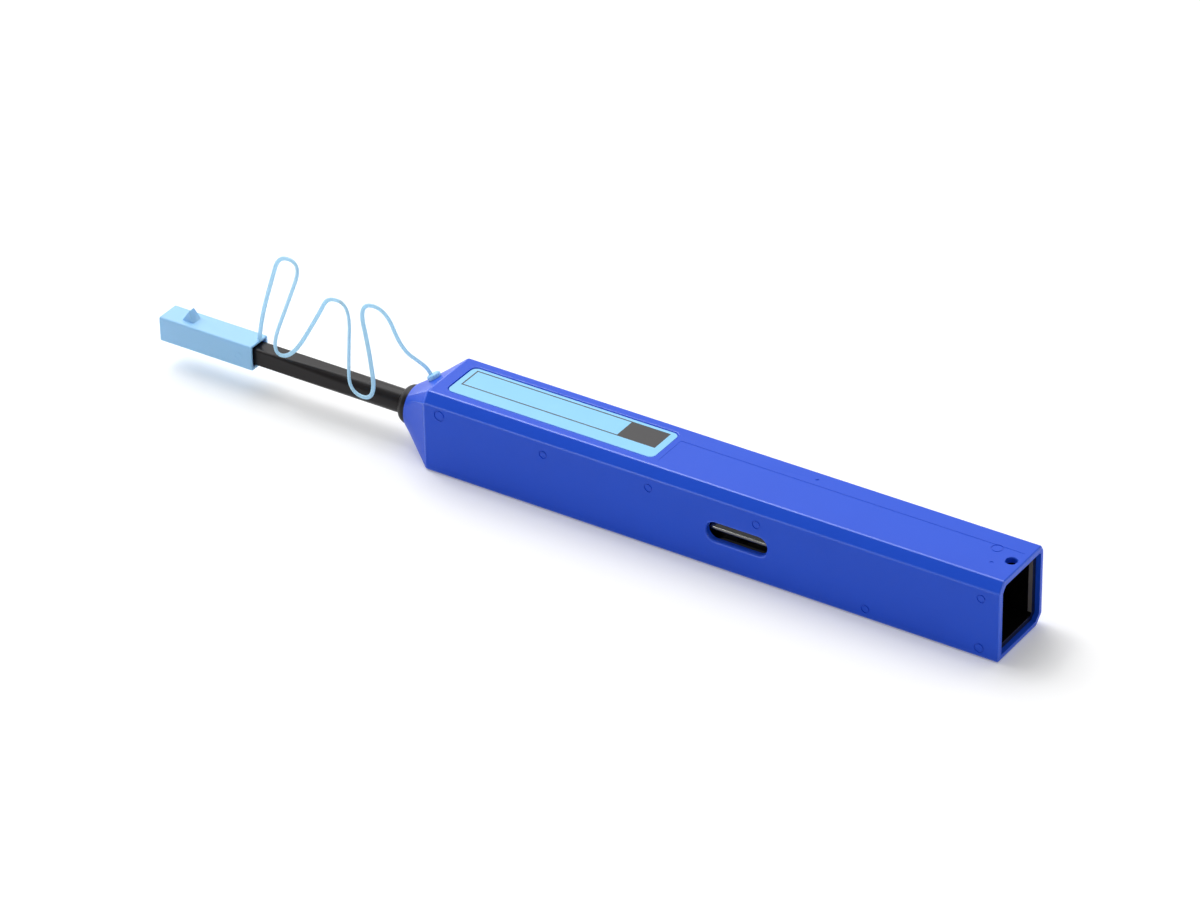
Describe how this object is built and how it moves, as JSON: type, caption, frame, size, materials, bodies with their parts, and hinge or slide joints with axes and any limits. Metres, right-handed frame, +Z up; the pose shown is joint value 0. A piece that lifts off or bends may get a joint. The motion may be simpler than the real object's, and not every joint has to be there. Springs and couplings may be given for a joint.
{
  "type": "fibre connector cleaning pen",
  "caption": "Push-type pen that wipes a fibre connector's end face with a reel-fed tape, with a tethered guide cap on its nozzle.",
  "frame": {"origin": "middle of the pen's length and width on its underside, at the bottom of its bounding box", "axes": "+X towards the open rear end, the cleaning tip at -X; +Z up to the label face; the sight window is on the -Y side"},
  "size_m": [0.2108, 0.018, 0.0352],
  "materials": {
    "shell_blue": "fine satin moulded ABS",
    "label_film": "printed polyester film",
    "frame_black": "glossy moulded black plastic",
    "nozzle_black": "satin moulded black plastic",
    "cap_blue": "translucent light blue polyethylene",
    "gear_white": "natural acetal",
    "tape": "woven microfibre tape",
    "steel": "drawn stainless steel"
  },
  "bodies": {
    "shell": {"outer_shell": "shell_blue", "label": "label_film", "drive_rack": "shell_blue", "spring_stop": "shell_blue", "cam_pin": "steel", "return_spring": "steel", "strap_anchor": "cap_blue", "cap_strap": "cap_blue"},
    "carriage": {"inner_frame": "frame_black", "frame_cover": "frame_black", "nozzle_tube": "nozzle_black", "tip_sleeve": "steel", "supply_axle": "steel", "take_up_axle": "steel", "fresh_tape_run": "tape", "used_tape_run": "tape", "ratchet_pawl": "steel"},
    "pinion": {"drive_pinion": "gear_white"},
    "take_up": {"take_up_reel": "gear_white", "used_tape_pack": "tape"},
    "supply": {"supply_reel": "gear_white", "fresh_tape_pack": "tape"},
    "head": {"head_shaft": "gear_white", "cleaning_head": "gear_white", "tape_at_head": "tape"},
    "cap": {"guide_cap": "cap_blue"}
  },
  "joints": [
    {"name": "push", "type": "slide", "parent": "shell", "child": "carriage", "axis": [1, 0, 0], "range_m": [0, 0.012], "stiffness_N_per_m": 300, "springref_m": -0.008, "deforming": ["return_spring", "cap_strap"]},
    {"name": "pinion_turn", "type": "hinge", "parent": "carriage", "child": "pinion", "pos_m": [0.05995, 0, 0.0093], "axis": [0, 1, 0], "range_deg": [0, 172]},
    {"name": "take_up_turn", "type": "hinge", "parent": "carriage", "child": "take_up", "pos_m": [0.05995, 0, 0.0093], "axis": [0, 1, 0], "range_deg": [0, 172]},
    {"name": "supply_turn", "type": "hinge", "parent": "carriage", "child": "supply", "pos_m": [0.04435, 0, 0.0093], "axis": [0, 1, 0], "range_deg": [0, 115]},
    {"name": "head_turn", "type": "hinge", "parent": "carriage", "child": "head", "pos_m": [0, 0, 0.0084], "axis": [1, 0, 0], "range_deg": [0, 180.1]},
    {"name": "cap_slide", "type": "slide", "parent": "carriage", "child": "cap", "axis": [-1, 0, 0], "range_m": [0, 0.03], "deforming": ["cap_strap"]}
  ],
  "couplings": [
    {"joint": "pinion_turn", "follows": "push", "rad_per_m": 250},
    {"joint": "take_up_turn", "follows": "push", "rad_per_m": 250},
    {"joint": "supply_turn", "follows": "push", "rad_per_m": 166.67},
    {"joint": "head_turn", "follows": "push", "rad_per_m": 261.8}
  ]
}
